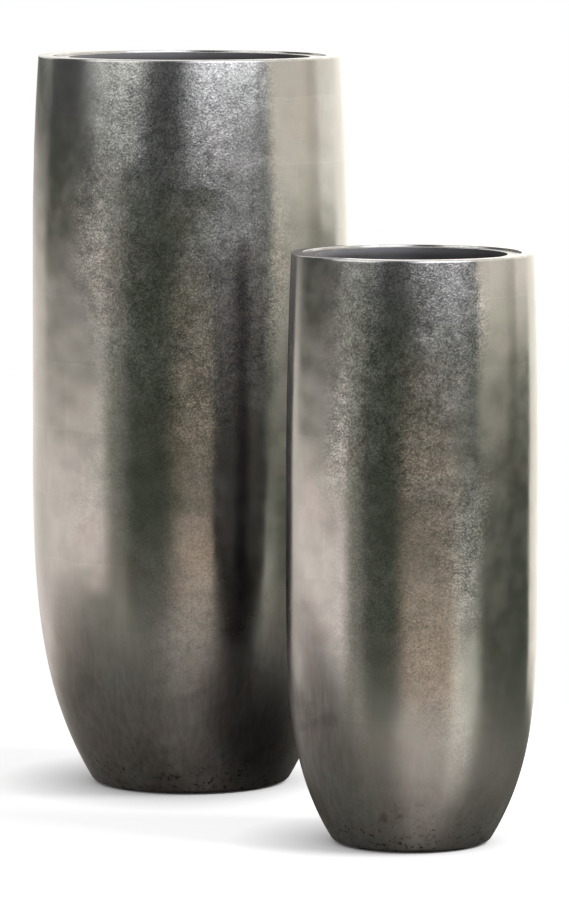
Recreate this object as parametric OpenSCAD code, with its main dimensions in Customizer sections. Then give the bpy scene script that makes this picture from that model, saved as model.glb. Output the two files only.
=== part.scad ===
// A pair of tall round floor planters in two sizes. Each one is a moulded
// shell on felt feet, with a liner that hangs from a seat ring in the mouth
// and lifts out by two wire handles, and a drain with a rubber plug.
// Millimetres, +Z up. The origin is on the floor, at the middle of the
// rectangle that the pair takes up.

/* [Tall planter] */
// Height from the floor to the top of the rim
tall_height = 980; // [900:10:1060]
// Outer diameter at the rim
tall_rim_d = 404; // [390:2:420]
// Largest outer diameter
tall_belly_d = 424; // [416:2:450]
// Height of the largest diameter above the floor
tall_belly_height = 530; // [460:10:600]
// Outer diameter where the wall meets the underside
tall_base_d = 264; // [240:2:300]
// Thickness of the wall
tall_wall = 7; // [5:0.5:11]
// Width of the flat lip round the mouth
tall_lip_w = 19; // [15:1:24]

/* [Short planter] */
// Height from the floor to the top of the rim
short_height = 750; // [700:10:820]
// Outer diameter at the rim
short_rim_d = 305; // [296:1:318]
// Largest outer diameter
short_belly_d = 318; // [312:2:340]
// Height of the largest diameter above the floor
short_belly_height = 375; // [330:5:430]
// Outer diameter where the wall meets the underside
short_base_d = 200; // [184:2:230]
// Thickness of the wall
short_wall = 6; // [5:0.5:9]
// Width of the flat lip round the mouth
short_lip_w = 15; // [12:1:20]

/* [Where they stand] */
// Short planter's axis, to the right of the tall one's
stand_right = 288; // [240:2:400]
// Short planter's axis, in front of the tall one's
stand_front = 486; // [400:2:600]

/* [Shell] */
// Thickness of the floor inside
floor_t = 12; // [8:1:20]
// Radius of the outer edge of the lip
lip_outer_r = 2; // [1:0.5:6]
// Radius of the inner edge of the lip
lip_inner_r = 1; // [0.5:0.5:3]
// Radius of the edge between the wall and the underside
base_edge_r = 7; // [3:0.5:12]
// Depth over which the lip thins down to the wall
lip_taper_h = 50; // [35:1:70]
// Leg of the resin cove between the floor and the wall
cove = 14; // [6:1:25]

/* [Liner seat] */
// Depth of the liner's flange below the lip
flange_drop = 2.5; // [1:0.5:5]
// Thickness of the seat ring
seat_ring_t = 12; // [8:1:18]
// Width of the shoulder that carries the seat ring
shoulder_w = 6; // [4:0.5:8]
// Glue gap round the seat ring
glue_gap = 0.25; // [0.1:0.05:0.5]

/* [Liner] */
// Width of the tall liner's flange
tall_flange_w = 21; // [17:1:26]
// Width of the short liner's flange
short_flange_w = 17; // [14:1:20]
// Depth of the tall liner, flange to underside
tall_liner_depth = 380; // [300:10:480]
// Depth of the short liner, flange to underside
short_liner_depth = 300; // [240:10:380]
// Outer diameter of the tall liner's bottom
tall_liner_base_d = 256; // [220:2:290]
// Outer diameter of the short liner's bottom
short_liner_base_d = 184; // [160:2:210]
// Thickness of the liner's wall, floor and flange
liner_t = 3; // [2:0.5:4]
// Radius between the liner's wall and floor
liner_corner_r = 18; // [10:1:25]
// Gap between the flange's edge and the lip
flange_gap = 0.6; // [0.3:0.1:1.5]
// Gap between the liner's wall and the seat ring
liner_gap = 1.5; // [0.8:0.1:3]

/* [Liner handles] */
// Diameter of the handle wire
bail_wire_d = 5; // [4:0.5:6]
// Width of the tall liner's handles, between leg centres
tall_bail_w = 100; // [84:2:116]
// Width of the short liner's handles, between leg centres
short_bail_w = 80; // [70:2:90]
// Length of the tall liner's handles, pivot to grip
tall_bail_l = 85; // [70:1:100]
// Length of the short liner's handles, pivot to grip
short_bail_l = 70; // [58:1:80]
// Depth of the handles' pivots below the flange
bail_pivot_depth = 32; // [26:1:45]
// Thickness of the lugs that hold the handles
lug_t = 9; // [6:0.5:12]
// Radial clearance of the wire in its lugs
bail_clearance = 0.08; // [0.05:0.01:0.1]

/* [Drain] */
// Bore of the drain bush
drain_d = 25; // [18:1:32]
// Wall of the drain bush
bush_wall = 3; // [2:0.5:5]
// Width of the bush's flange beyond its wall
bush_flange_w = 8; // [5:1:12]
// Thickness of the bush's flange
bush_flange_t = 3; // [2:0.5:5]
// Radial clearance of the plug in the bush
plug_clearance = 0.1; // [0.05:0.05:0.3]
// Height of the plug's head above the bush
plug_head_h = 5; // [3:0.5:8]
// Height of the knob on the plug
plug_knob_h = 20; // [14:1:30]

/* [Feet] */
// Thickness of the felt feet
foot_t = 3; // [2:0.5:5]
// Diameter of each felt foot
foot_d = 36; // [24:2:44]
// Distance from the feet's edge in to the flat underside's edge
foot_inset = 6; // [2:1:12]

/* [Hidden] */
$fn = 96;
fine = 0.01;               // keeps cutting tools clear of the faces they cut
belly_steps = 26;          // points up the wall from the base to the belly
rim_steps = 16;            // points up the wall from the belly to the rim
belly_power = 4;           // how fast the wall turns in below the belly
rim_power = 3;             // how fast the wall turns in above the belly
arc_steps = 6;             // points round each edge
lug_r = 8;                 // outside radius of a handle lug
lug_gap = 1;               // gap between a lug and the bend of the wire
pin_bend_r = 6;            // bend from handle leg to pin, wire centre
grip_bend_r = 16;          // bend from handle leg to grip, wire centre
bail_hang_gap = 3;         // least gap between a hanging handle and the liner
shoulder_t = 6;            // height of the shoulder's straight face
knob_neck_r = 6;           // neck of the plug's knob
knob_r = 10;               // top of the plug's knob
knob_top_h = 8;            // height of the knob's top
foot_angle = 45;           // first foot's angle from the X axis
foot_count = 4;

// One list of sizes for each planter, read by the functions below it
TALL = [tall_height, tall_rim_d / 2, tall_belly_d / 2, tall_belly_height,
        tall_base_d / 2, tall_wall, tall_lip_w, tall_flange_w,
        tall_liner_depth, tall_liner_base_d / 2, tall_bail_w, tall_bail_l];
SHORT = [short_height, short_rim_d / 2, short_belly_d / 2, short_belly_height,
         short_base_d / 2, short_wall, short_lip_w, short_flange_w,
         short_liner_depth, short_liner_base_d / 2, short_bail_w, short_bail_l];
function height(p) = p[0];
function rim_r(p) = p[1];
function belly_r(p) = p[2];
function belly_z(p) = p[3];
function base_r(p) = p[4];
function wall(p) = p[5];
function lip_w(p) = p[6];
function flange_w(p) = p[7];
function liner_depth(p) = p[8];
function liner_base_r(p) = p[9];
function bail_w(p) = p[10];
function bail_l(p) = p[11];

// The pair's footprint, which puts the origin at its middle
foot_x_lo = min(-belly_r(TALL), stand_right - belly_r(SHORT));
foot_x_hi = max(belly_r(TALL), stand_right + belly_r(SHORT));
foot_y_lo = min(-belly_r(TALL), -stand_front - belly_r(SHORT));
foot_y_hi = max(belly_r(TALL), -stand_front + belly_r(SHORT));
tall_at = [-(foot_x_lo + foot_x_hi) / 2, -(foot_y_lo + foot_y_hi) / 2, 0];
short_at = tall_at + [stand_right, -stand_front, 0];

// Outer radius and slope of the wall at height z: a fourth-power curve from
// the base out to the belly, and a third-power curve in again to the rim
function below(p, z) = 1 - (z - foot_t) / (belly_z(p) - foot_t);
function above(p, z) = (z - belly_z(p)) / (height(p) - belly_z(p));
function outer_r(p, z) = z < belly_z(p)
    ? belly_r(p) - (belly_r(p) - base_r(p)) * pow(below(p, z), belly_power)
    : belly_r(p) - (belly_r(p) - rim_r(p)) * pow(above(p, z), rim_power);
function slope(p, z) = z < belly_z(p)
    ? belly_power * (belly_r(p) - base_r(p))
        * pow(below(p, z), belly_power - 1) / (belly_z(p) - foot_t)
    : -rim_power * (belly_r(p) - rim_r(p))
        * pow(above(p, z), rim_power - 1) / (height(p) - belly_z(p));
function inner_point(p, z) = let (s = slope(p, z), n = sqrt(1 + s * s))
    [outer_r(p, z) - wall(p) / n, z + wall(p) * s / n];

// An arc as points, about c, from angle a to angle b
function arc(c, r, a, b) = [for (i = [0:arc_steps])
    c + r * [cos(a + (b - a) * i / arc_steps), sin(a + (b - a) * i / arc_steps)]];
// Heights from a up to b in n steps, b left out
function rise(a, b, n) = [for (i = [0:n - 1]) a + (b - a) * i / n];
function reverse(list) = [for (i = [len(list) - 1:-1:0]) list[i]];

// Edge between the wall and the underside, and the flat underside's radius
function base_lean(p) = atan(slope(p, foot_t));
function base_edge_top(p) = foot_t + base_edge_r * (1 - sin(base_lean(p)));
function flat_r(p) = outer_r(p, base_edge_top(p)) - base_edge_r * cos(base_lean(p));

// Heights and radii of the seat, from the rim down
floor_z = foot_t + floor_t;
function mouth_r(p) = rim_r(p) - lip_w(p);
function flange_top(p) = height(p) - flange_drop;
function seat_z(p) = flange_top(p) - liner_t;
function shoulder_z(p) = seat_z(p) - seat_ring_t;
function lip_foot_z(p) = shoulder_z(p) - lip_taper_h;

// Wall heights, low to high, with one point on the belly itself
function wall_heights(p, from, to) = concat(
    rise(from, belly_z(p), belly_steps),
    rise(belly_z(p), to, rim_steps), [to]);

module shell_outline(p) {
    lip_z = height(p) - lip_outer_r;
    cove_z = floor_z + cove;
    outside = concat(
        [[0, foot_t]],
        arc([flat_r(p), foot_t + base_edge_r], base_edge_r, -90, -base_lean(p)),
        [for (z = wall_heights(p, base_edge_top(p), lip_z))
            if (z > base_edge_top(p) && z < lip_z) [outer_r(p, z), z]],
        arc([outer_r(p, lip_z) - lip_outer_r, lip_z], lip_outer_r, 0, 90));
    mouth = concat(
        arc([mouth_r(p) + lip_inner_r, height(p) - lip_inner_r], lip_inner_r, 90, 180),
        [[mouth_r(p), shoulder_z(p)],
         [mouth_r(p) - shoulder_w, shoulder_z(p)],
         [mouth_r(p) - shoulder_w, shoulder_z(p) - shoulder_t]]);
    inside = [for (z = reverse(wall_heights(p, foot_t, lip_foot_z(p))))
        let (q = inner_point(p, z)) if (q[1] > cove_z) q];
    foot_of_wall = inside[len(inside) - 1];
    polygon(concat(outside, mouth, inside,
        [[foot_of_wall[0] - cove, floor_z], [0, floor_z]]));
}

// Moulded vessel: wall, floor and turned-in lip in one piece
module shell(p) {
    color("#8d8984") difference() {
        rotate_extrude() shell_outline(p);
        translate([0, 0, foot_t - fine])
            cylinder(r = bush_r, h = floor_t + 2 * fine);
    }
}

// Ring glued into the mouth, which the liner's flange rests on
module seat_ring(p) {
    ring_r = mouth_r(p) - glue_gap;
    color("#6f6b66") difference() {
        translate([0, 0, shoulder_z(p)]) cylinder(r = ring_r, h = seat_ring_t);
        translate([0, 0, shoulder_z(p) - fine])
            cylinder(r = liner_top_r(p) + liner_gap, h = seat_ring_t + 2 * fine);
    }
}

// Liner: inside radius at the mouth, outside radius at the mouth
function liner_in_r(p) = mouth_r(p) - flange_gap - flange_w(p);
function liner_top_r(p) = liner_in_r(p) + liner_t;
function liner_bottom_z(p) = flange_top(p) - liner_depth(p);
function liner_lean(p) = atan((liner_top_r(p) - liner_base_r(p)) / liner_depth(p));
// Inside radius of the liner at a depth below its flange
function liner_r_at(p, depth) = liner_in_r(p)
    - (liner_top_r(p) - liner_base_r(p)) * depth / liner_depth(p);

// Half outline of a tapered pot, its side passing through r at the top
module pot_outline(p, top_r, bottom_r, bottom_z, corner_r) {
    lean = liner_lean(p);
    corner_z = bottom_z + corner_r;
    side_at_corner = bottom_r + (corner_z - corner_r * sin(lean) - bottom_z) * tan(lean);
    centre = [side_at_corner - corner_r * cos(lean), corner_z];
    polygon(concat([[0, bottom_z]],
        arc(centre, corner_r, -90, -lean),
        [[top_r, flange_top(p)], [0, flange_top(p)]]));
}

module liner_outside(p) {
    rotate_extrude()
        pot_outline(p, liner_top_r(p), liner_base_r(p), liner_bottom_z(p), liner_corner_r);
}

module liner_inside(p) {
    in_z = liner_bottom_z(p) + liner_t;
    in_r = liner_base_r(p) - liner_t + liner_t * tan(liner_lean(p));
    rotate_extrude()
        pot_outline(p, liner_in_r(p), in_r, in_z, liner_corner_r - liner_t);
}

module flange(p) {
    edge_r = liner_t / 2;
    outer_edge = mouth_r(p) - flange_gap;
    rotate_extrude() polygon(concat(
        [[liner_in_r(p), seat_z(p)]],
        arc([outer_edge - edge_r, seat_z(p) + edge_r], edge_r, -90, 90),
        arc([liner_in_r(p) + edge_r, flange_top(p) - edge_r], edge_r, 90, 180)));
}

// Handle pivots: distance from the axis, height, and a lug's near face
function bail_reach_depth(p) = bail_pivot_depth + bail_l(p) + bail_wire_d / 2;
function bail_half_span(p) = bail_w(p) / 2 + bail_wire_d / 2;
function pivot_x(p) = sqrt(pow(liner_r_at(p, bail_reach_depth(p)), 2)
    - pow(bail_half_span(p), 2)) - bail_wire_d / 2 - bail_hang_gap;
function pivot_z(p) = flange_top(p) - bail_pivot_depth;
function lug_y(p) = bail_w(p) / 2 + pin_bend_r + lug_gap;

// The four lugs' outside, trimmed to the liner
module lugs(p) {
    intersection() {
        liner_outside(p);
        for (turn = [0, 180], side = [-1, 1]) rotate(turn)
            translate([pivot_x(p), side < 0 ? -lug_y(p) - lug_t : lug_y(p), pivot_z(p)]) {
                rotate([-90, 0, 0]) cylinder(r = lug_r, h = lug_t);
                translate([0, 0, -lug_r])
                    cube([liner_top_r(p) - pivot_x(p), lug_t, 2 * lug_r]);
            }
    }
}

// Lift-out pot with its flange and its handle lugs
module liner(p) {
    bore_y = lug_y(p) + lug_t + fine;
    color("#55585b") difference() {
        union() {
            difference() {
                liner_outside(p);
                liner_inside(p);
            }
            flange(p);
            lugs(p);
        }
        for (turn = [0, 180]) rotate(turn)
            translate([pivot_x(p), -bore_y, pivot_z(p)]) rotate([-90, 0, 0])
                cylinder(r = bail_wire_d / 2 + bail_clearance, h = 2 * bore_y);
    }
}

// A quarter bend of wire in the YZ plane, about the origin, from angle a
module wire_bend(r, a) {
    rotate([90, 0, 90]) rotate([0, 0, a])
        rotate_extrude(angle = 90) translate([r, 0]) circle(d = bail_wire_d);
}

// Wire handle, hanging from the pivot line along Y through the origin
module bail_shape(p) {
    half = bail_w(p) / 2;
    leg_top = -pin_bend_r;
    leg_foot = -(bail_l(p) - grip_bend_r);
    pin_l = lug_gap + lug_t;
    for (side = [0, 1]) mirror([0, side, 0]) {
        translate([0, half + pin_bend_r, 0]) rotate([-90, 0, 0])
            cylinder(d = bail_wire_d, h = pin_l);
        translate([0, half + pin_bend_r, leg_top]) wire_bend(pin_bend_r, 90);
        translate([0, half, leg_foot]) cylinder(d = bail_wire_d, h = leg_top - leg_foot);
        translate([0, half - grip_bend_r, leg_foot]) wire_bend(grip_bend_r, -90);
    }
    translate([0, -(half - grip_bend_r), -bail_l(p)]) rotate([-90, 0, 0])
        cylinder(d = bail_wire_d, h = 2 * (half - grip_bend_r));
}

// turn is 0 for the right-hand handle and 180 for the left-hand one
module bail(p, turn) {
    color("#b9bcc0") rotate(turn) translate([pivot_x(p), 0, pivot_z(p)]) bail_shape(p);
}

// Drain: a flanged bush bonded into the floor, and its plug
bush_r = drain_d / 2 + bush_wall;
bush_flange_r = bush_r + bush_flange_w;
bush_top = floor_z + bush_flange_t;

module drain_bush() {
    color("#2f3133") difference() {
        union() {
            translate([0, 0, foot_t]) cylinder(r = bush_r, h = floor_t);
            translate([0, 0, floor_z]) cylinder(r = bush_flange_r, h = bush_flange_t);
        }
        translate([0, 0, foot_t - fine])
            cylinder(d = drain_d, h = floor_t + bush_flange_t + 2 * fine);
    }
}

module drain_plug() {
    head_top = bush_top + plug_head_h;
    neck_h = plug_knob_h - knob_top_h;
    color("#1c1c1d") {
        translate([0, 0, foot_t])
            cylinder(r = drain_d / 2 - plug_clearance, h = bush_top - foot_t);
        translate([0, 0, bush_top])
            cylinder(r = bush_r + bush_flange_w / 2, h = plug_head_h);
        translate([0, 0, head_top]) cylinder(r = knob_neck_r, h = neck_h);
        translate([0, 0, head_top + neck_h]) cylinder(r = knob_r, h = knob_top_h);
    }
}

// Felt discs under the flat underside
module feet(p) {
    circle_r = flat_r(p) - foot_inset - foot_d / 2;
    color("#3a3835") for (i = [0:foot_count - 1])
        rotate(foot_angle + i * 360 / foot_count)
            translate([circle_r, 0, 0]) cylinder(d = foot_d, h = foot_t);
}

module at_tall() { translate(tall_at) children(); }
module at_short() { translate(short_at) children(); }

at_tall() shell(TALL);  // tall_shell
at_tall() seat_ring(TALL);  // tall_seat_ring
at_tall() liner(TALL);  // tall_liner
at_tall() bail(TALL, 180);  // tall_handle_left
at_tall() bail(TALL, 0);  // tall_handle_right
at_tall() drain_bush();  // tall_drain_bush
at_tall() drain_plug();  // tall_drain_plug
at_tall() feet(TALL);  // tall_feet
at_short() shell(SHORT);  // short_shell
at_short() seat_ring(SHORT);  // short_seat_ring
at_short() liner(SHORT);  // short_liner
at_short() bail(SHORT, 180);  // short_handle_left
at_short() bail(SHORT, 0);  // short_handle_right
at_short() drain_bush();  // short_drain_bush
at_short() drain_plug();  // short_drain_plug
at_short() feet(SHORT);  // short_feet
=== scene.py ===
"""Looks of two tall round floor planters in silver leaf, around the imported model.

Lengths are metres and +Z is up. The short planter stands to the right of the
tall one and in front of it. Each shell is an outline in numpy that is turned
about the planter's axis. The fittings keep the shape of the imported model.
"""

import math

import bpy
import numpy as np
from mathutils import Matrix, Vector


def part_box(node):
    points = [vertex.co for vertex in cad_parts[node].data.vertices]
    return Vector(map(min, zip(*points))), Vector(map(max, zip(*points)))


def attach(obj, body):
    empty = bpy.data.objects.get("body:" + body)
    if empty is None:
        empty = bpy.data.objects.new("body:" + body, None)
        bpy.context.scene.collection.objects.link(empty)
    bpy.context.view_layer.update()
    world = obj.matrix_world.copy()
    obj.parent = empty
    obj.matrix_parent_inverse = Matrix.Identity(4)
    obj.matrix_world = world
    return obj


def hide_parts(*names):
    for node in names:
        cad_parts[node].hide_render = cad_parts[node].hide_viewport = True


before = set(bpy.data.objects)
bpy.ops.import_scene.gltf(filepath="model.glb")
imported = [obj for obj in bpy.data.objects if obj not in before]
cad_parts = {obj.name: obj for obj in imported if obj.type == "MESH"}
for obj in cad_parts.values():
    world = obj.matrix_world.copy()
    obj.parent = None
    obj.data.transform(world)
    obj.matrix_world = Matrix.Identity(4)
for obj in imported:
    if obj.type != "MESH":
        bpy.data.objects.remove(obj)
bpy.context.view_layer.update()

TAU = 2 * math.pi

# Driving sizes of each planter, as the construction has them, and its tarnish, which is
# partly painted shade and deeper on the tall one for that: how deep it is at the foot, the
# shares of the height between which it fades out, and how much higher, and so much deeper,
# it lies on the planter's left side, as painted shade
PLANTERS = {
    "tall": dict(rim_r=0.202, belly_z=0.530, base_r=0.132, wall=0.007, lip_w=0.019,
                 worn=(0.88, 0.11, 0.36, 0.0)),
    "short": dict(rim_r=0.1525, belly_z=0.375, base_r=0.100, wall=0.006, lip_w=0.015,
                  worn=(0.66, 0.03, 0.29, 0.21)),
}
FOOT_T = 0.003
FLOOR_T = 0.012
COVE = 0.014
LIP_OUTER_R = 0.002
LIP_INNER_R = 0.001
BASE_EDGE_R = 0.007
FLANGE_T = 0.003
SHOULDER_DROP = 0.0175
SHOULDER_W = 0.006
SHOULDER_T = 0.006
LIP_TAPER = 0.050
DRAIN_R = 0.0155
BELLY_POWER = 4
RIM_POWER = 3
SLOPE_STEP = 1e-5

# How finely the shells are divided: round the axis, and along the outline under the
# base, up the outer wall and down the inner one
COLUMNS = 360
BASE_RINGS = 11
WALL_ROWS = 190
INNER_ROWS = 48

# The even rows of the wall end this far below the lip's rounding, and over the last
# part of the wall the leaf turns burnished, and lighter as a painted highlight
ROWS_END = 0.004
LIP_FADE = 0.0012

# Ripple of the wall: the tilt that each wave gives, the radians to the metre of the
# longest and the shortest wave, and the heights above the ground and below the top
# at which it starts, with the heights that it takes to grow
RIPPLE_TILT = 0.0011
RIPPLE_PITCH = (7, 190)
RIPPLE_FOOT = (0.012, 0.10)
RIPPLE_TOP = (0.004, 0.12)

# Each shell's own seed, and what is added to it for the leaf's wrinkles and for its
# tarnish with painted shade
FIRST_SEED = 3
WRINKLED_SEED = 20
TARNISH_SHADE_SEED = 40

# Clouds: the ranges of the waves round the planter, and of the radians up its height
CLOUD_AROUND = (2, 9)
CLOUD_UPWARD = (-24, 24)

# Where the leaf gets wrinkled, as start and width: from the left and from the right, on
# the cosine of the angle, and upwards, on the share of the height. Then what is left of
# the wrinkles at the sides, at the foot and anywhere, and the clouds in their border and
# in themselves
WRINKLED_LEFT = (-0.76, 0.34)
WRINKLED_RIGHT = (0.62, 0.2)
WRINKLED_UPWARD = (0.18, 0.55)
WRINKLED_SIDES = 0.04
WRINKLED_FOOT = 0.08
WRINKLED_LEAST = 0.02
WRINKLED_BORDER_CLOUD = 0.022
WRINKLED_CLOUD = 0.08

# Where the tarnish rises towards the left as painted shade, as start and width on minus
# the cosine of the angle, how much deeper it is for each share that it rises, and the
# clouds in its border
PAINTED_SHADE_LEFT = (5 / 18, 5 / 9)
PAINTED_SHADE_LEFT_DEPTH = 1.2
TARNISH_SHADE_CLOUD = 0.011

# Edge of one square of leaf, how far each row of squares is moved along, how far their
# edges waver and how wide they lap, the last three in squares
LEAF = 0.088
LEAF_SHIFT = 0.37
LEAF_WAVER = 0.11
LEAF_LAP = 0.022

# Colours of the leaf: sound, tarnished and darkened as painted shade, at the scuffs, and on
# the burnished lip, which is lightened as a painted highlight
SILVER = (0.40, 0.40, 0.375)
SILVER_PALE = (0.45, 0.445, 0.43)
SILVER_WARM = (0.43, 0.405, 0.39)
TARNISH_SHADE_GREY = (0.186, 0.184, 0.184)
TARNISH_SHADE_BROWN = (0.172, 0.152, 0.150)
STAINED = (0.118, 0.110, 0.107)
SCUFFED = (0.05, 0.045, 0.043)
NICKED = (0.02, 0.019, 0.019)
LIP_SILVER_HIGHLIGHT = (0.55, 0.545, 0.53)

# Patterns: how many to the metre, how many times they are refined, how strongly the
# finer ones show and how far the pattern is drawn about
CLOUD = (5.5, 4, 0.55)
DRIFT = (13.0, 3, 0.6, 0.4)
GRAIN = (380.0, 2.5, 0.6)
CREASES = (120.0, 2, 0.5)
UNDULATION = (45.0, 2, 0.5)
PATCHES = (70.0, 4, 0.65)
STAINS = (11.0, 4, 0.6, 0.6)
STREAKS = (1.0, 4, 0.7)
SCUFFS = (50.0, 5, 0.8)
NICKS = (135.0, 4, 0.7)
POLISH = (75.0, 5, 0.75)
SHEEN = (34.0, 3, 0.6)
FIBRES = (60.0, 5, 0.7)
MOTTLE = (45.0, 4, 0.6)
FLAKES_SCALE = 520.0
WAVER_SCALE = 30.0
WAVER_DETAIL = 3.0

# How far the stains' pattern is moved away from the clouds', and how much closer the
# streaks' pattern is packed each way, least of all upwards
STAINS_SHIFT = (3, 1, 7)
STREAKS_STRETCH = (150, 150, 14)

# Relief of the leaf: its height, the shares of creases and undulation beside the grain,
# the undulation and the step at a lap that are there without wrinkles, and what is left
# of the wrinkles on the lip
LEAF_RELIEF = 0.00012
CREASES_SHARE = 0.4
UNDULATION_SHARE = 0.7
UNDULATION_LEAST = 0.25
LAP_STEP = 0.015
LIP_WRINKLED = 0.25

# Tones as factors: of the squares, at a lap, of the streaks, of the lip and its flecks,
# and the painted contact shade at the very foot with the height over which it fades.
# Patches and flecks are added to a factor of 1
SQUARE_TONES = (0.965, 1.03)
LAP_TONE = 1.04
PATCH_TONES = (-0.2, 0.2)
FLECK_TONES = (-0.4, 0.46)
STREAK_TONES = (0.8, 1.2)
LIP_TONES = (0.84, 1.12)
LIP_FLECK_TONES = (0.92, 1.08)
FOOT_PAINTED_SHADE = 0.92
FOOT_PAINTED_SHADE_HEIGHT = 0.05

# Height up to which there are scuffs and nicks, how much a scuff covers, and the
# roughness of sound leaf, least and most, with what wear adds
SCUFFED_HEIGHT = 0.11
SCUFFS_COVER = 0.75
LEAF_ROUGHNESS = (0.15, 0.2)
WORN_ROUGHNESS = 0.24

# Fittings: an edge over this angle in degrees stays sharp, and points nearer than this
# are welded
SHARP_ANGLE = 32
WELD_GAP = 1e-6

# Camera, at the photograph's viewing angle
CAMERA_AT = (0.0095, -7.5555, 1.26)
CAMERA_PITCH = 5.98
CAMERA_LENS = 231.0
CAMERA_SENSOR = 36.0

# Lamp: its place, the point that it looks at, its watts and its width
KEY_AT = (2.7, -1.2, 2.3)
KEY_AIM = (0.0, 0.0, 0.4)
KEY_POWER = 130
KEY_SIZE = 2.0

# Floor sheet: nearest left and farthest right corner, tone, and the light added to it
FLOOR_CORNERS = ((-0.9, -1.0), (0.75, 0.9))
FLOOR_TONE = (0.74, 0.74, 0.74)
FLOOR_LIFT = 0.75

# Shade on the sheet: how near a planter takes away its lift, how near and how strongly
# one darkens what is mirrored, and the painted shadow between them, from its middle outwards
LIFT_REACH = 0.12
SHADE_REACH = 0.5
SHADE_POWER = 0.9
BETWEEN_AT = (0.13, -0.03, 0)
BETWEEN_REACH = (0.14, 0.30)
BETWEEN_LEAST = 0.1


def add_object(name, data):
    """A new object at the origin."""
    obj = bpy.data.objects.new(name, data)
    bpy.context.scene.collection.objects.link(obj)
    return obj


def face_corners(grid):
    """The four corners of each face of a grid, in the order that turns the face outwards."""
    return np.stack([grid[:-1, :-1], grid[:-1, 1:], grid[1:, 1:], grid[1:, :-1]], axis=2)


def grid_mesh(name, points, close_rows=False, close_columns=False):
    """A mesh of four-sided faces over a (rows, columns, 3) array of points.

    Closing joins the last row or column to the first.
    """
    rows, columns = points.shape[:2]
    index = np.arange(rows * columns).reshape(rows, columns)
    if close_rows:
        index = np.vstack([index, index[:1]])
    if close_columns:
        index = np.hstack([index, index[:, :1]])
    mesh = bpy.data.meshes.new(name)
    mesh.from_pydata(points.reshape(-1, 3).tolist(), [], face_corners(index).reshape(-1, 4).tolist())
    mesh.shade_smooth()
    return mesh


def add_map(mesh, name, along, across):
    """A map on face corners, from one value per row edge and one per column edge."""
    corners = face_corners(np.stack(np.meshgrid(across, along), axis=-1))
    layer = mesh.uv_layers.new(name=name)
    layer.data.foreach_set("uv", corners.reshape(-1).astype(np.float32))


def add_value(mesh, name, values):
    """A named number on every point, for the finish to read."""
    layer = mesh.attributes.new(name, "FLOAT", "POINT")
    layer.data.foreach_set("value", values.reshape(-1).astype(np.float32))


def arc(centre, radius, start, end, steps=6):
    """Points on a circle about centre, from angle start to angle end in degrees."""
    angle = np.radians(np.linspace(start, end, steps + 1))
    return np.column_stack([centre[0] + radius * np.cos(angle), centre[1] + radius * np.sin(angle)])


class Shell:
    """A planter's outline: its wall bulges by power curves about the belly."""

    def __init__(self, name):
        low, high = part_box(name + "_shell")
        self.name = name
        self.axis = np.array([(low.x + high.x) / 2, (low.y + high.y) / 2])
        self.belly_r = (high.x - low.x) / 2
        self.height = high.z
        for key, value in PLANTERS[name].items():
            setattr(self, key, value)
        self.mouth_r = self.rim_r - self.lip_w

    def radius(self, z):
        """Outer radius: a fourth-power curve below the belly, a third-power one above."""
        below = np.clip(1 - (z - FOOT_T) / (self.belly_z - FOOT_T), 0, 1)
        above = np.clip((z - self.belly_z) / (self.height - self.belly_z), 0, 1)
        return (self.belly_r - (self.belly_r - self.base_r) * below ** BELLY_POWER
                - (self.belly_r - self.rim_r) * above ** RIM_POWER)

    def slope(self, z):
        """How fast the outer radius grows with height, over a small step about z."""
        return (self.radius(z + SLOPE_STEP) - self.radius(z - SLOPE_STEP)) / (2 * SLOPE_STEP)

    def outside(self):
        """Outline from the drain hole under the foot, up the wall, to the lip's inner edge."""
        lean = math.atan(self.slope(FOOT_T + 10 * SLOPE_STEP))
        edge_top = FOOT_T + BASE_EDGE_R * (1 - math.sin(lean))
        flat_r = self.radius(edge_top) - BASE_EDGE_R * math.cos(lean)
        under_r = np.linspace(DRAIN_R, flat_r, BASE_RINGS, endpoint=False)
        lip_z = self.height - LIP_OUTER_R
        z = np.append(np.linspace(edge_top, lip_z - ROWS_END, WALL_ROWS)[1:], lip_z - LIP_FADE)
        return np.vstack([
            np.column_stack([under_r, np.full(BASE_RINGS, FOOT_T)]),
            arc((flat_r, FOOT_T + BASE_EDGE_R), BASE_EDGE_R, -90, -math.degrees(lean)),
            np.column_stack([self.radius(z), z]),
            arc((self.radius(lip_z) - LIP_OUTER_R, lip_z), LIP_OUTER_R, 0, 90, 8),
            arc((self.mouth_r + LIP_INNER_R, self.height - LIP_INNER_R), LIP_INNER_R, 90, 180, 5),
        ])

    def inside(self):
        """Outline from the mouth down the inner wall and across the floor to the drain.

        The inner wall lies one wall thickness inside the outer one, square to its slope.
        """
        shoulder_z = self.height - SHOULDER_DROP
        floor_z = FOOT_T + FLOOR_T
        z = np.linspace(shoulder_z - LIP_TAPER, floor_z + COVE, INNER_ROWS)
        slope = self.slope(z)
        inward = self.wall / np.sqrt(1 + slope ** 2)
        wall = np.column_stack([self.radius(z) - inward, z + inward * slope])
        wall = wall[wall[:, 1] > floor_z + COVE]
        cove_r = wall[-1, 0] - COVE
        return np.vstack([
            [[self.mouth_r, shoulder_z], [self.mouth_r - SHOULDER_W, shoulder_z],
             [self.mouth_r - SHOULDER_W, shoulder_z - SHOULDER_T]],
            wall,
            [[cove_r, floor_z], [DRAIN_R, floor_z]],
        ])


def ease(value, start, width):
    """0 up to start and 1 from start + width on, with a soft beginning and end."""
    share = np.clip((value - start) / width, 0, 1)
    return share * share * (3 - 2 * share)


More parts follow.
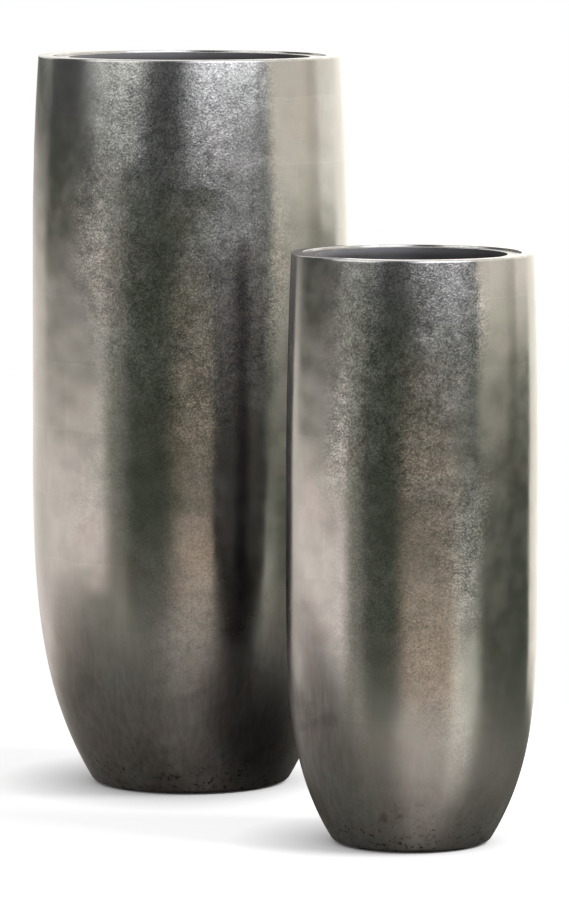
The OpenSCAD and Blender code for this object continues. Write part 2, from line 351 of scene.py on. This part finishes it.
def ripple(angle, z, belly_r, seed, waves=72):
    """Slight unevenness of a hand-finished wall: a sum of sine waves of random direction.

    Short waves are lower than long ones, so that each tilts the wall alike, and
    each runs a whole number of times round the planter, so that it closes.
    """
    rng = np.random.default_rng(seed)
    longest, shortest = np.log(RIPPLE_PITCH)
    total = np.zeros(np.broadcast(angle, z).shape)
    for _ in range(waves):
        pitch = math.exp(rng.uniform(longest, shortest))
        heading = rng.uniform(0, TAU)
        around = round(pitch * math.cos(heading) * belly_r)
        upward = pitch * math.sin(heading)
        total += RIPPLE_TILT / pitch * np.sin(around * angle + upward * z + rng.uniform(0, TAU))
    return total


def clouds(angle, share, rng, size, waves=12):
    """Cloudy unevenness round a planter: a sum of sine waves that closes."""
    total = np.zeros(np.broadcast(angle, share).shape)
    for _ in range(waves):
        around = rng.integers(*CLOUD_AROUND)
        upward = rng.uniform(*CLOUD_UPWARD)
        total += size * np.sin(around * angle + upward * share + rng.uniform(0, TAU))
    return total


def wrinkling(angle, share, seed):
    """How wrinkled the leaf is: more at front and back and up the wall, with cloudy borders."""
    rng = np.random.default_rng(seed)
    side = np.cos(angle) + clouds(angle, share, rng, WRINKLED_BORDER_CLOUD)
    right, width = WRINKLED_RIGHT
    facing = ease(side, *WRINKLED_LEFT) * ease(-side, -right, width)
    upward = ease(share, *WRINKLED_UPWARD)
    level = WRINKLED_SIDES + (1 - WRINKLED_SIDES) * facing
    level = level * (WRINKLED_FOOT + (1 - WRINKLED_FOOT) * upward)
    cloud = clouds(angle, share, rng, WRINKLED_CLOUD)
    return np.clip(level + cloud * facing, WRINKLED_LEAST, 1)


def tarnish_and_shade_depth(angle, share, worn, seed):
    """How tarnished the leaf is, partly as painted shade: deepest at the foot, fading upward along a
    cloudy border.
    """
    depth, low, high, left = worn
    cloud = clouds(angle, share, np.random.default_rng(seed), TARNISH_SHADE_CLOUD)
    # Painted shade: the tarnish rises higher, and darker, on the left side
    rise = left * ease(-np.cos(angle), *PAINTED_SHADE_LEFT)
    return (depth + PAINTED_SHADE_LEFT_DEPTH * rise) * (1 - ease(share + cloud - rise, low, high - low))


def make_shell(shell, seed, finishes):
    """The moulded vessel: its outline turned about the planter's axis, with a slight ripple."""
    outside, inside = shell.outside(), shell.inside()
    outline = np.vstack([outside, inside])
    r, z = outline[:, :1], outline[:, 1:]

    # The columns start and end at the back, where the leaf's map has its seam
    angle = np.linspace(0, TAU, COLUMNS, endpoint=False)[None, :] + TAU / 4
    on_wall = np.zeros((len(outline), 1))
    on_wall[:len(outside)] = 1
    foot, foot_height = RIPPLE_FOOT
    top, top_height = RIPPLE_TOP
    fade = np.clip((z - foot) / foot_height, 0, 1)
    fade = fade * np.clip((shell.height - top - z) / top_height, 0, 1)
    radius = r + on_wall * fade * ripple(angle, z, shell.belly_r, seed)
    points = np.stack([shell.axis[0] + radius * np.cos(angle), shell.axis[1] + radius * np.sin(angle),
                       np.broadcast_to(z, radius.shape)], axis=-1)
    mesh = grid_mesh(shell.name + "_vessel", points, close_rows=True, close_columns=True)

    steps = np.hypot(*np.diff(np.vstack([outline, outline[:1]]), axis=0).T)
    leaves_around = round(TAU * shell.belly_r / LEAF)
    add_map(mesh, "leaf", np.append(0, np.cumsum(steps)) / LEAF,
            np.linspace(0, leaves_around, COLUMNS + 1))
    fade_z = shell.height - LIP_OUTER_R - LIP_FADE
    # The burnished lip is also lightened as a painted highlight
    burnish_and_highlight = np.clip((z - fade_z) / LIP_FADE, 0, 1) * on_wall
    share = z / shell.height
    add_value(mesh, "lip", np.broadcast_to(burnish_and_highlight, radius.shape))
    add_value(mesh, "wrinkled", wrinkling(angle, share, seed + WRINKLED_SEED))
    # The tarnish mask is partly painted shade at the foot and on the left
    add_value(mesh, "worn", tarnish_and_shade_depth(angle, share, shell.worn, seed + TARNISH_SHADE_SEED))

    inner_faces = np.zeros(len(outline) * COLUMNS, dtype=np.int32)
    inner_faces[len(outside) * COLUMNS:] = 1
    mesh.materials.append(finishes["leaf"])
    mesh.materials.append(finishes["composite"])
    mesh.polygons.foreach_set("material_index", inner_faces)
    piece = add_object(shell.name + "_vessel", mesh)
    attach(piece, shell.name + "_planter")
    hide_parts(shell.name + "_shell")


class Nodes:
    """Short calls that add nodes to one tree and return their output sockets."""

    def __init__(self, tree):
        self.tree = tree

    def feed(self, node, inputs):
        """Fill a node's inputs: a socket is linked, and anything else is the input's value."""
        for key, value in dict(inputs).items():
            if isinstance(value, bpy.types.NodeSocket):
                self.tree.links.new(value, node.inputs[key])
            else:
                node.inputs[key].default_value = value

    def add(self, kind, output=0, inputs=(), **settings):
        """One node, and the output that is asked for."""
        node = self.tree.nodes.new(kind)
        for key, value in settings.items():
            setattr(node, key, value)
        self.feed(node, inputs)
        return node.outputs[output]

    def math(self, operation, *values):
        """One step of arithmetic on numbers."""
        return self.add("ShaderNodeMath", operation=operation, inputs=enumerate(values))

    def vector(self, operation, *values):
        """One step of arithmetic on points."""
        return self.add("ShaderNodeVectorMath", operation=operation, inputs=enumerate(values))

    def span(self, value, low, high, to_low=0.0, to_high=1.0, smooth=True):
        """value from low..high to to_low..to_high, held at both ends."""
        kind = "SMOOTHSTEP" if smooth else "LINEAR"
        return self.add("ShaderNodeMapRange", interpolation_type=kind, inputs={
            "Value": value, "From Min": low, "From Max": high, "To Min": to_low, "To Max": to_high})

    def noise(self, vector, scale, detail, roughness, distortion=0.0):
        """Cloudy noise about 0.5."""
        return self.add("ShaderNodeTexNoise", inputs={
            "Vector": vector, "Scale": scale, "Detail": detail, "Roughness": roughness,
            "Distortion": distortion})

    def dim(self, colour, amount):
        """colour times amount."""
        return self.add("ShaderNodeVectorMath", operation="SCALE", inputs={0: colour, "Scale": amount})

    def mix(self, factor, a, b, blend="MIX"):
        """a where factor is 0 and b where it is 1. Each is a socket or a colour."""
        a, b = [colour + (1,) if isinstance(colour, tuple) else colour for colour in (a, b)]
        return self.add("ShaderNodeMix", output=2, data_type="RGBA", blend_type=blend,
                        inputs={"Factor": factor, 6: a, 7: b})

    def place(self):
        """The point on the piece, in metres."""
        return self.add("ShaderNodeTexCoord", output="Object")

    def value(self, name):
        """A number that add_value put on the points."""
        return self.add("ShaderNodeAttribute", output="Fac", attribute_name=name)

    def split(self, point):
        """The X, Y and Z of a point, by name."""
        node = self.tree.nodes.new("ShaderNodeSeparateXYZ")
        self.feed(node, {"Vector": point})
        return node.outputs

    def openness(self, reach):
        """1 on open ground, and less where something stands within reach."""
        return self.add("ShaderNodeAmbientOcclusion", output="AO", samples=8,
                        inputs={"Distance": reach})

    def rays(self):
        """The kinds of ray, by name, and whether a ray is mirrored or let through."""
        path = self.tree.nodes.new("ShaderNodeLightPath").outputs
        return path, self.math("MAXIMUM", path["Is Glossy Ray"], path["Is Transmission Ray"])


def new_finish(name):
    """A new material, the calls that add its nodes, and its shader."""
    made = bpy.data.materials.new(name)
    made.use_nodes = True
    nodes = Nodes(made.node_tree)
    shader = made.node_tree.nodes["Principled BSDF"]
    return made, nodes, shader


def leaf_squares(n, place):
    """Squares of leaf, whose edges waver and lap: a number for each, and where two lap."""
    waver = n.add("ShaderNodeTexNoise", output="Color",
                  inputs={"Vector": place, "Scale": WAVER_SCALE, "Detail": WAVER_DETAIL})
    shift = n.vector("MULTIPLY", n.vector("SUBTRACT", waver, (0.5, 0.5, 0.5)),
                     (LEAF_WAVER, LEAF_WAVER, 0))
    leaf = n.split(n.vector("ADD", n.add("ShaderNodeUVMap", uv_map="leaf"), shift))
    row = n.math("FLOOR", leaf["Y"])
    along = n.math("ADD", leaf["X"], n.math("MULTIPLY", row, LEAF_SHIFT))
    which = n.add("ShaderNodeCombineXYZ", inputs={0: n.math("FLOOR", along), 1: row})
    number = n.add("ShaderNodeTexWhiteNoise", output="Value", inputs={"Vector": which})
    to_side = n.math("PINGPONG", along, 0.5)
    to_end = n.math("PINGPONG", leaf["Y"], 0.5)
    return number, n.span(n.math("MINIMUM", to_side, to_end), 0.0, LEAF_LAP, 1, 0)


def leaf_relief(n, place, wrinkled, lip, lap):
    """Height of the leaf: a fine grain over broad undulation, and the edges that lap."""
    broad = n.noise(place, *UNDULATION)
    creases = n.math("MULTIPLY", n.noise(place, *CREASES), CREASES_SHARE)
    wrinkles = n.math("ADD", n.noise(place, *GRAIN), creases)
    wrinkles = n.math("ADD", wrinkles, n.math("MULTIPLY", broad, UNDULATION_SHARE))
    strength = n.math("MULTIPLY", wrinkled, n.span(lip, 0, 1, 1, LIP_WRINKLED))
    relief = n.math("MULTIPLY", wrinkles, strength)
    relief = n.math("ADD", relief, n.math("MULTIPLY", broad, UNDULATION_LEAST))
    return n.math("ADD", relief, n.math("MULTIPLY", lap, LAP_STEP))


def sound_tone(n, place, drift, flake, square, lap, wrinkled):
    """Tone of sound leaf: cloudy, a little different in each square, flecked where wrinkled."""
    tone = n.mix(n.span(n.noise(place, *CLOUD), 0.38, 0.62), SILVER, SILVER_PALE)
    tone = n.mix(n.span(drift, 0.5, 0.7), tone, SILVER_WARM)
    tone = n.dim(tone, n.span(square, 0, 1, *SQUARE_TONES))
    tone = n.dim(tone, n.span(lap, 0, 1, 1, LAP_TONE))
    patch = n.span(n.noise(place, *PATCHES), 0.34, 0.66, *PATCH_TONES)
    fleck = n.span(flake, 0.1, 0.9, *FLECK_TONES, smooth=False)
    return n.dim(tone, n.math("MULTIPLY_ADD", n.math("ADD", fleck, patch), wrinkled, 1.0))


def tarnish_and_shade_tone(n, place, drift):
    """Tone of tarnished leaf, dark partly as painted shade: grey and brown, stained, with short
    upright streaks.
    """
    stain = n.noise(n.vector("ADD", place, STAINS_SHIFT), *STAINS)
    streak = n.noise(n.vector("MULTIPLY", place, STREAKS_STRETCH), *STREAKS)
    # The tarnish colours are dark partly as painted shade
    tone = n.mix(n.span(drift, 0.35, 0.65), TARNISH_SHADE_GREY, TARNISH_SHADE_BROWN)
    tone = n.mix(n.span(stain, 0.48, 0.66), tone, STAINED)
    return n.dim(tone, n.span(streak, 0.3, 0.7, *STREAK_TONES))


def scuffed_and_foot_shaded_tone(n, place, tone):
    """tone with dark scuffs and nicks near the ground, and a little darker at the very foot as painted
    contact shade.
    """
    height = n.split(place)["Z"]
    low = n.span(height, 0.0, SCUFFED_HEIGHT, 1, 0)
    scuffs = n.math("MULTIPLY", n.span(n.noise(place, *SCUFFS), 0.54, 0.68), low)
    tone = n.mix(n.math("MULTIPLY", scuffs, SCUFFS_COVER), tone, SCUFFED)
    nicks = n.span(n.noise(place, *NICKS), 0.58, 0.64, 0, n.math("MULTIPLY", low, low))
    tone = n.mix(nicks, tone, NICKED)
    # Painted contact shade: a little darker at the very foot
    return n.dim(tone, n.span(height, 0.0, FOOT_PAINTED_SHADE_HEIGHT, FOOT_PAINTED_SHADE, 1))


def burnished_highlight_tone(n, place, flake):
    """Tone of the burnished lip, lightened as a painted highlight, with a faint fleck."""
    polish = n.span(n.noise(place, *POLISH), 0.3, 0.7, *LIP_TONES)
    fleck = n.span(flake, 0.1, 0.9, *LIP_FLECK_TONES, smooth=False)
    return n.dim(LIP_SILVER_HIGHLIGHT, n.math("MULTIPLY", polish, fleck))


def silver_leaf():
    """Aged silver leaf, laid in squares: wrinkled and cloudy, burnished at the lip and
    lightened there as a painted highlight, and tarnished darker, with scuffs, towards the
    foot, where the darkening is partly painted shade.
    """
    made, n, shader = new_finish("silver leaf")
    place = n.place()
    lip, wrinkled, worn = n.value("lip"), n.value("wrinkled"), n.value("worn")
    drift = n.noise(place, *DRIFT)
    flake = n.add("ShaderNodeTexVoronoi", output="Color",
                  inputs={"Vector": place, "Scale": FLAKES_SCALE})
    square, lap = leaf_squares(n, place)
    tone = sound_tone(n, place, drift, flake, square, lap, wrinkled)
    # Tarnish, darkened further as painted shade at the foot and on the left
    tone = n.mix(worn, tone, tarnish_and_shade_tone(n, place, drift))
    tone = scuffed_and_foot_shaded_tone(n, place, tone)
    # The lip is lightened as a painted highlight
    tone = n.mix(lip, tone, burnished_highlight_tone(n, place, flake))
    rough = n.span(n.noise(place, *SHEEN), 0.3, 0.7, *LEAF_ROUGHNESS)
    rough = n.math("ADD", rough, n.math("MULTIPLY", worn, WORN_ROUGHNESS))
    bump = n.add("ShaderNodeBump", inputs={
        "Strength": 1.0, "Distance": LEAF_RELIEF,
        "Height": leaf_relief(n, place, wrinkled, lip, lap)})
    n.feed(shader, {"Base Color": tone, "Roughness": rough, "Normal": bump, "Metallic": 1.0})
    return made


def bare_composite():
    """Unfinished inside of the moulding: a dull brown-grey with fibre mottle."""
    made, n, shader = new_finish("bare composite")
    fibres = n.noise(n.place(), *FIBRES)
    tone = n.mix(fibres, (0.16, 0.15, 0.135), (0.26, 0.245, 0.225))
    bump = n.add("ShaderNodeBump", inputs={"Strength": 0.4, "Distance": 0.001, "Height": fibres})
    n.feed(shader, {"Base Color": tone, "Roughness": 0.8, "Normal": bump})
    return made


def plain_finish(name, colour, roughness, metallic=0.0):
    """A satin finish with slight mottle in its tone and gloss."""
    made, n, shader = new_finish(name)
    mottle = n.noise(n.place(), *MOTTLE)
    dark = tuple(0.8 * c for c in colour)
    light = tuple(1.15 * c for c in colour)
    rough = n.span(mottle, 0.2, 0.8, roughness - 0.06, roughness + 0.06)
    n.feed(shader, {"Base Color": n.mix(mottle, dark, light), "Roughness": rough,
                    "Metallic": metallic})
    return made


def liner_grey():
    """Satin grey, lighter just under the mouth and dark below it: painted shade down the inside."""
    made, n, shader = new_finish("liner grey")
    mottle = n.noise(n.place(), *MOTTLE)
    depth = n.math("ADD", n.value("depth"), n.span(mottle, 0.2, 0.8, -0.0015, 0.0015))
    # Painted shade: lighter just under the mouth, darker deeper inside
    tone = n.mix(n.span(depth, 0.001, 0.012), (0.15, 0.15, 0.16), (0.03, 0.03, 0.032))
    tone = n.dim(tone, n.span(mottle, 0.2, 0.8, 0.8, 1.2))
    n.feed(shader, {"Base Color": tone, "Roughness": n.span(mottle, 0.2, 0.8, 0.42, 0.55)})
    return made


def smooth_copy(node, body, finish):
    """A CAD node's own shape as one smooth-shaded piece, with its creases kept sharp."""
    name = node + "_piece"
    piece = add_object(name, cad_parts[node].data.copy())
    weld = piece.modifiers.new("weld", "WELD")
    weld.merge_threshold = WELD_GAP
    bpy.context.view_layer.update()
    graph = bpy.context.evaluated_depsgraph_get()
    welded = bpy.data.meshes.new_from_object(piece.evaluated_get(graph))
    piece.modifiers.clear()
    piece.data = welded
    welded.name = name
    if welded.has_custom_normals:
        welded.attributes.remove(welded.attributes["custom_normal"])
    welded.shade_smooth()
    welded.set_sharp_from_angle(angle=math.radians(SHARP_ANGLE))
    welded.materials.clear()
    welded.materials.append(finish)
    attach(piece, body)
    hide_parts(node)
    return piece


def heights(items, key):
    """The Z of every point or face of a mesh."""
    places = np.empty(3 * len(items), dtype=np.float32)
    items.foreach_get(key, places)
    return places[2::3]


def line_liner(mesh, top, silver):
    """The liner's flange, its faces within FLANGE_T of its top, in silver, and the depth below it."""
    add_value(mesh, "depth", top - heights(mesh.vertices, "co"))
    on_flange = heights(mesh.polygons, "center") > top - 1.01 * FLANGE_T
    mesh.materials.append(silver)
    mesh.polygons.foreach_set("material_index", on_flange.astype(np.int32))


def make_fittings(name, finishes):
    """The pieces that keep their CAD shape: liner, handles, seat ring, drain and feet."""
    planter = name + "_planter"
    rows = [
        ("seat_ring", planter, "ring", "ring_resin"),
        ("liner", name + "_liner", "liner", "liner_grey"),
        ("handle_left", name + "_handle_left", "wire", "handle_wire"),
        ("handle_right", name + "_handle_right", "wire", "handle_wire"),
        ("drain_bush", planter, "bush", "bush_plastic"),
        ("drain_plug", name + "_plug", "rubber", "plug_rubber"),
        ("feet", planter, "felt", "foot_felt"),
    ]
    for part, body, finish, slot in rows:
        piece = smooth_copy(f"{name}_{part}", body, finishes[finish])
        if part == "liner":
            line_liner(piece.data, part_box(name + "_liner")[1].z, finishes["flange"])


# Soft panels of the studio as the metal sees them: azimuths and elevations in
# degrees, the softness of their sides and ends, and their light
STUDIO = [
    # from, to, low, high, side, end, colour
    (-72, -50, -5, 3.5, 6, 1.5, (0.20, 0.20, 0.18)),
    (-84, -34, 4.4, 60, 10, 2.2, (1.55, 1.55, 1.52)),
    (-130, -63, -12.2, -4.9, 7, 1.2, (1.34, 1.19, 1.14)),
    (-182, -130, -14, -2.6, 7, 2.4, (0.98, 0.88, 0.84)),
    (-182, -97, -19, -12.0, 10, 2, (0.55, 0.47, 0.43)),
    (-61, -47, -20, -4.5, 7, 2, (0.24, 0.22, 0.20)),
    (2, 58, 4.6, 60, 12, 2.8, (2.40, 2.44, 2.60)),
    (26, 60, -1.8, 5.0, 15, 2.6, (0.28, 0.28, 0.30)),
    (63, 98, -3.6, 60, 5, 2.0, (1.10, 1.02, 0.90)),
    (98, 112, -3.0, 60, 5, 2, (0.90, 0.83, 0.72)),
    (112, 182, -3.2, 60, 4, 1.6, (1.40, 1.32, 1.20)),
    (136, 182, -10, -3.2, 3, 1.6, (1.25, 1.18, 1.06)),
    (182, 232, 1.5, 60, 6, 2, (0.95, 0.93, 0.88)),
    (-10, 42, -18, -6.8, 9, 1.8, (0.56, 0.42, 0.335)),
    (-14, 52, -80, -18, 12, 5, (0.62, 0.55, 0.52)),
    (38, 64, -44, -8.4, 7, 1.0, (0.56, 0.54, 0.49)),
    (38, 64, -19, -8.4, 7, 1.0, (0.34, 0.33, 0.30)),
]

# The rest of the studio, and the elevations in degrees between which each part of it
# comes in: walls below and above the horizon, floor, ceiling, and what is left of the
# light when it has been mirrored twice
STUDIO_LOW = (0.064, 0.079, 0.054)
STUDIO_HIGH = (0.12, 0.122, 0.132)
STUDIO_HORIZON = (-3, 3)
STUDIO_FLOOR = (0.34, 0.31, 0.285)
STUDIO_FLOOR_FROM = (-6, -26)
OVERHEAD = (0.80, 0.80, 0.82)
OVERHEAD_FROM = (34, 56)
TWICE_MIRRORED = 0.09
TWICE_HIGH = (0.62, 0.60, 0.62)
TWICE_HIGH_FROM = (-4.8, -0.8)
TWICE_DEPTH = (2.4, 2.6)
DULL_LIGHT = (0.32, 0.32, 0.32)


def ray_direction(n):
    """Azimuth from the front, positive to the right, and elevation, both in degrees."""
    ray = n.split(n.add("ShaderNodeTexCoord", output="Generated"))
    front = n.math("MULTIPLY", ray["Y"], -1)
    azimuth = n.math("MULTIPLY", n.math("ARCTAN2", ray["X"], front), 180 / math.pi)
    elevation = n.math("MULTIPLY", n.math("ARCSINE", ray["Z"]), 180 / math.pi)
    return azimuth, elevation


def in_band(n, off_middle, width, soft):
    """1 in a band and 0 outside it, from the distance to its middle, with a soft border."""
    return n.span(n.math("ABSOLUTE", off_middle), width / 2 + soft, width / 2 - soft, 0, 1)


def world_light():
    """White to the camera, an even pale light on dull surfaces, and the studio on metal."""
    world = bpy.data.worlds.new("studio")
    bpy.context.scene.world = world
    world.use_nodes = True
    world.node_tree.nodes.clear()
    n = Nodes(world.node_tree)
    azimuth, elevation = ray_direction(n)
    light = n.mix(n.span(elevation, *STUDIO_HORIZON), STUDIO_LOW, STUDIO_HIGH)
    for left, right, low, high, side, end, colour in STUDIO:
        turn = n.math("WRAP", n.math("SUBTRACT", azimuth, (left + right) / 2), 180, -180)
        rise = n.math("SUBTRACT", elevation, (low + high) / 2)
        across = in_band(n, turn, right - left, side)
        upward = in_band(n, rise, high - low, end)
        light = n.mix(n.math("MULTIPLY", across, upward), light, colour, "ADD")
    light = n.mix(n.span(elevation, *STUDIO_FLOOR_FROM), light, STUDIO_FLOOR, "ADD")
    light = n.mix(n.span(elevation, *OVERHEAD_FROM), light, OVERHEAD)
    path, on_metal = n.rays()
    dimmed = n.mix(n.span(elevation, *TWICE_HIGH_FROM), n.dim(light, TWICE_MIRRORED), TWICE_HIGH)
    light = n.mix(n.span(path["Ray Depth"], *TWICE_DEPTH), light, dimmed)
    seen = n.mix(on_metal, DULL_LIGHT, light)
    seen = n.mix(path["Is Camera Ray"], seen, (1, 1, 1))
    background = n.add("ShaderNodeBackground", inputs={"Color": seen, "Strength": 1.0})
    n.feed(n.tree.nodes.new("ShaderNodeOutputWorld"), {"Surface": background})


def key_light():
    """One soft lamp from the upper right, which throws the shadows to the left."""
    data = bpy.data.lights.new("key", "AREA")
    data.energy = KEY_POWER
    data.size = KEY_SIZE
    lamp = add_object("key", data)
    lamp.location = KEY_AT
    lamp.visible_glossy = False
    aim = Vector(KEY_AIM) - Vector(KEY_AT)
    lamp.rotation_euler = aim.to_track_quat("-Z", "Y").to_euler()


def floor_sheet():
    """A pale floor that keeps its shadows.

    A lift, which only camera rays see, takes its lit part to white. Mirror rays
    pass on to the studio's own floor, dimmed where the planters close the sheet in and
    in the shadow between them. From below the sheet isn't seen.
    """
    (left, front), (right, back) = FLOOR_CORNERS
    corners = np.array([[[left, front, 0], [right, front, 0]], [[left, back, 0], [right, back, 0]]])
    floor = add_object("floor", grid_mesh("floor", corners))
    made, n, shader = new_finish("pale floor")
    path, mirrored = n.rays()
    lift = n.math("MULTIPLY", path["Is Camera Ray"], FLOOR_LIFT)
    n.feed(shader, {
        "Base Color": FLOOR_TONE + (1,), "Roughness": 1.0, "Specular IOR Level": 0.0,
        "Emission Color": (1, 1, 1, 1),
        "Emission Strength": n.math("MULTIPLY", lift, n.openness(LIFT_REACH))})
    # A painted shadow on the floor between the planters, for mirrored rays
    from_middle = n.add("ShaderNodeVectorMath", output="Value", operation="DISTANCE",
                        inputs={0: n.place(), 1: BETWEEN_AT})
    shade = n.math("MULTIPLY", n.math("POWER", n.openness(SHADE_REACH), SHADE_POWER),
                   n.span(from_middle, *BETWEEN_REACH, BETWEEN_LEAST, 1))
    below = n.add("ShaderNodeNewGeometry", output="Backfacing")
    shade = n.dim((1, 1, 1), n.math("MAXIMUM", shade, below))
    through = n.add("ShaderNodeBsdfTransparent", inputs={"Color": shade})
    passing = n.math("MAXIMUM", mirrored, below)
    seen = n.add("ShaderNodeMixShader", inputs={0: passing, 1: shader.outputs["BSDF"], 2: through})
    n.feed(n.tree.nodes["Material Output"], {"Surface": seen})
    floor.data.materials.append(made)


def make_camera():
    """A long lens in front of the pair, a little above the tall mouth and tilted down."""
    data = bpy.data.cameras.new("camera")
    data.lens = CAMERA_LENS
    data.sensor_width = CAMERA_SENSOR
    camera = add_object("camera", data)
    camera.location = CAMERA_AT
    camera.rotation_euler = (math.radians(90 - CAMERA_PITCH), 0, 0)
    bpy.context.scene.camera = camera


make_camera()
bpy.context.scene.view_settings.view_transform = "Standard"
finishes = {
    "leaf": silver_leaf(),
    "composite": bare_composite(),
    "ring": plain_finish("ring resin", (0.2, 0.19, 0.18), 0.7),
    "liner": liner_grey(),
    "flange": plain_finish("silver flange", (0.50, 0.495, 0.48), 0.22, 1.0),
    "wire": plain_finish("handle wire", (0.6, 0.61, 0.62), 0.3, 1.0),
    "bush": plain_finish("bush plastic", (0.03, 0.03, 0.032), 0.5),
    "rubber": plain_finish("plug rubber", (0.02, 0.02, 0.02), 0.6),
    "felt": plain_finish("foot felt", (0.05, 0.045, 0.04), 0.95),
}
for number, name in enumerate(["tall", "short"]):
    make_shell(Shell(name), FIRST_SEED + number, finishes)
    make_fittings(name, finishes)
world_light()
key_light()
floor_sheet()
